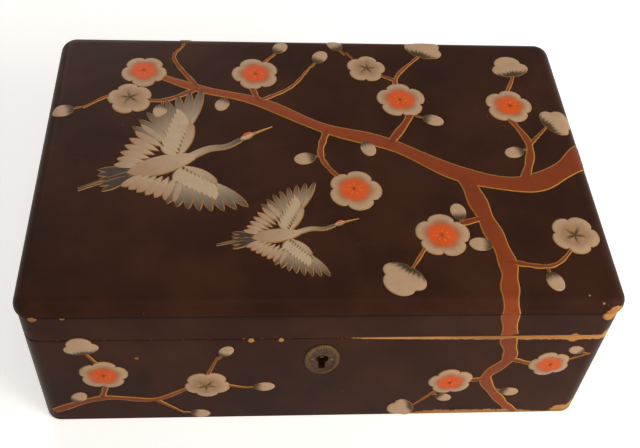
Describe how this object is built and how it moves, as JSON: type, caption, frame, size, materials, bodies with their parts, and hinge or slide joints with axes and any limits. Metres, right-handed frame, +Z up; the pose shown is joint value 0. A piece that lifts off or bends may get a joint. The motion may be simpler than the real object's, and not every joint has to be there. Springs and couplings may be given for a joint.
{
  "type": "jewelry box",
  "caption": "Lacquered wooden jewelry box with a hinged shouldered lid, a half-mortise lock behind an oval escutcheon and a lined, divided inside.",
  "frame": {"origin": "middle of the underside, on the surface the box stands on", "axes": "+Z up, -Y towards the front with the keyhole, +X to the right seen from the front"},
  "size_m": [0.28, 0.19, 0.1],
  "materials": {
    "lacquer_wood": "dark brown lacquer, worn at the edges",
    "brass": "aged brass",
    "spring_steel": "plain steel",
    "velvet": "wine-red velvet over card or padding"
  },
  "bodies": {
    "base": {"base_front_board": "lacquer_wood", "base_back_board": "lacquer_wood", "base_left_board": "lacquer_wood", "base_right_board": "lacquer_wood", "bottom_board": "lacquer_wood", "escutcheon": "brass", "escutcheon_pins": "brass", "left_hinge_base_leaf": "brass", "left_hinge_pin": "brass", "right_hinge_base_leaf": "brass", "right_hinge_pin": "brass", "hinge_base_screws": "brass", "lock_plate": "brass", "lock_case": "brass", "lock_screws": "brass", "bolt_spring": "spring_steel", "key_pin": "spring_steel", "floor_pad": "velvet", "front_lining": "velvet", "back_lining": "velvet", "left_lining": "velvet", "right_lining": "velvet", "long_divider": "velvet", "left_divider": "velvet", "right_divider": "velvet", "ring_roll_1": "velvet", "ring_roll_2": "velvet", "ring_roll_3": "velvet", "ring_roll_4": "velvet"},
    "lid": {"lid_top_panel": "lacquer_wood", "lid_front_rail": "lacquer_wood", "lid_back_rail": "lacquer_wood", "lid_left_rail": "lacquer_wood", "lid_right_rail": "lacquer_wood", "lid_pad": "velvet", "link_plate": "brass", "link_screws": "brass", "hinge_lid_screws": "brass", "left_hinge_lid_leaf": "brass", "right_hinge_lid_leaf": "brass"},
    "bolt": {"lock_bolt": "brass"}
  },
  "joints": [
    {"name": "lid_hinge", "type": "hinge", "parent": "base", "child": "lid", "pos_m": [0, 0.09166, 0.0732], "axis": [-1, 0, 0], "range_deg": [0, 100]},
    {"name": "bolt_slide", "type": "slide", "parent": "base", "child": "bolt", "axis": [1, 0, 0], "range_m": [0, 0.005]}
  ]
}
